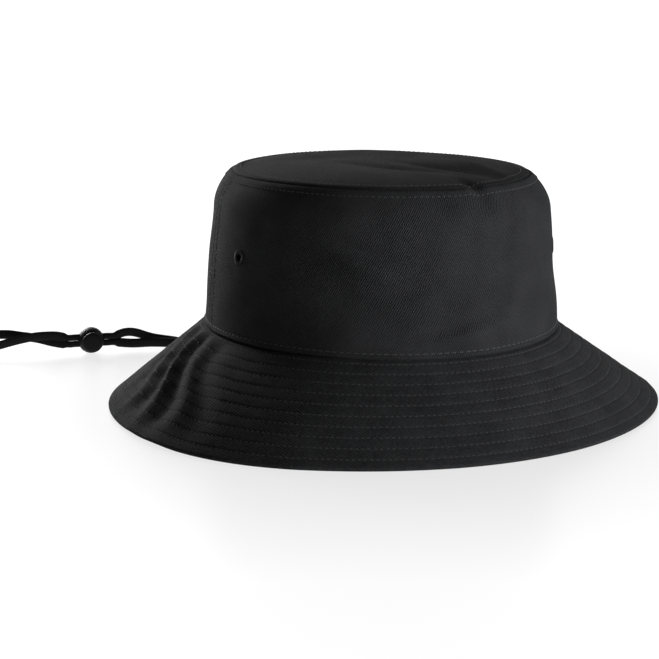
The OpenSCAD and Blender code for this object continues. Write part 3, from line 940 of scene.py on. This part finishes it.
def chin_cord(spring):
    """A flat braid, squeezed to fit the lock's holes along the lock's slide. Its flat side stands
    on edge near the lock and lies down on the floor."""
    path = smooth_route(CORD_ROUTE)
    run = lengths(path)
    off_line = np.maximum(np.abs(path[:, 1] - LOCK_AT[1]) - 3, 0)
    at_lock = np.abs(path[:, 0] - LOCK_AT[0]) + 4 * off_line
    squeeze = 1 - step(at_lock, SLIDE_REACH, SLIDE_REACH + 3)
    width = CORD_WIDE * (1 - squeeze) + 3.7 * squeeze
    thick = 1.9 * (1 - squeeze) + 2.9 * squeeze
    height = path[:, 2]
    twist = 78 * step(height, 1.7, 3.6) * step(-path[:, 0], 62, 88) + 8 * np.sin(run / 23)
    half_height = np.maximum(width / 2 * np.abs(np.sin(np.radians(twist))), thick / 2)
    path[:, 2] += np.maximum(0, half_height + 0.15 - height) * (1 - squeeze)
    rings = tube_round(path, width, thick, twist)
    rows, columns = rings.shape[:2]
    faces = turned_over(grid_faces(rows, columns, False, True).tolist()) + end_faces(rows, columns)
    cloth = stacked(run[:, None], np.arange(columns)[None] * 0.75, 0)
    piece = make("chin_cord_braid", rings.reshape(-1, 3), faces, BRAID,
                 cloth=cloth.reshape(-1, 3))
    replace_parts(piece, "chin_cord")


TAB_WIDE, TAB_DEEP, TAB_LOW, TAB_TALL = 2.7, 3.4, 30, 17


def cord_tabs():
    """Folded cloth loops that hold the cord's ends inside the sweatband."""
    rows, columns = 26, 20
    for name, way in (("left", 1), ("right", -1)):
        points = []
        for z in TAB_LOW + TAB_TALL * np.arange(rows) / (rows - 1):
            pinch = 1 - 0.28 * bell(z, 36, 1.2) - 0.28 * bell(z, 43, 1.2)
            for a in TURN * np.arange(columns) / columns:
                wide, deep = (abs(v) ** 0.6 * math.copysign(1, v)
                              for v in (math.cos(a), math.sin(a)))
                points.append((way * (TAB_X + TAB_WIDE * pinch * wide), TAB_DEEP * deep,
                               z + 0.25 * math.sin(3 * a)))
        faces = grid_faces(rows, columns, False, True).tolist()
        faces += turned_over(end_faces(rows, columns))
        if way < 0:
            faces = turned_over(faces)
        cloth = np.array([(y * 1.5, z, x) for x, y, z in points])
        piece = make(f"cord_tab_{name}_cloth", points, faces, TAPE, cloth=cloth)
        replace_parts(piece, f"cord_tab_{name}")


def size_label():
    """A blank woven label that waves a little."""
    low, high = (np.array(corner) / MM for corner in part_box("size_label"))
    size, middle = high - low, (high + low) / 2
    rows, columns = 22, 30
    v, u = np.meshgrid(np.arange(rows) / (rows - 1) - 0.5, np.arange(columns) / (columns - 1) - 0.5,
                       indexing="ij")
    y = middle[1] + 0.25 * np.sin(5 * u + 1) + 0.2 * np.sin(7 * v) - 0.004 * (u * size[0]) ** 2
    x, z = middle[0] + u * size[0], middle[2] + v * size[2]
    points = np.concatenate([stacked(x, y + side, z).reshape(-1, 3) for side in (-0.3, 0.3)])
    quads = grid_faces(rows, columns)
    count = rows * columns
    number = np.arange(count).reshape(rows, columns)
    edge = np.concatenate([number[0], number[1:, -1], number[-1, -2::-1], number[-2:0:-1, 0]])
    following = np.roll(edge, -1)
    sides = np.stack([edge, following, following + count, edge + count], -1)
    faces = quads[:, ::-1].tolist() + (quads + count).tolist() + sides.tolist()
    cloth = points[:, [0, 2, 1]]
    piece = make("size_label_cloth", points, faces, LABEL, cloth=cloth)
    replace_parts(piece, "size_label")


def lock_spring():
    """The coil between the button's plunger and the bottom of its pocket."""
    near, far, wire, coil, turns, sides = 3.05, 6.12, 0.2, 1.9, 3.5, 10
    a = np.linspace(0, turns * TURN, 169)
    run = step(a / a[-1], 0.06, 0.94)
    out = np.stack([np.cos(a), 0 * a, np.sin(a)], -1)
    along = np.array([0, 1.0, 0])
    rise = near + wire + (far - near - 2 * wire) * run
    path = LOCK_AT + coil * out + rise[:, None] * along
    b = (np.arange(sides) * TURN / sides)[None, :, None]
    rings = path[:, None] + wire * (np.cos(b) * out[:, None] + np.sin(b) * along)
    faces = grid_faces(len(a), sides, False, True).tolist() + turned_over(end_faces(len(a), sides))
    piece = make("lock_spring_coil", rings.reshape(-1, 3), faces, STEEL,
                 body="cord_lock")
    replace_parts(piece, "cord_lock_spring")
    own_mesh(piece)
    return piece


chin_cord(lock_spring())
eyelets()
cord_tabs()
size_label()

for node in ("cord_lock_body", "cord_lock_button"):
    for place in bpy.data.objects[node].material_slots:
        place.material = PLASTIC
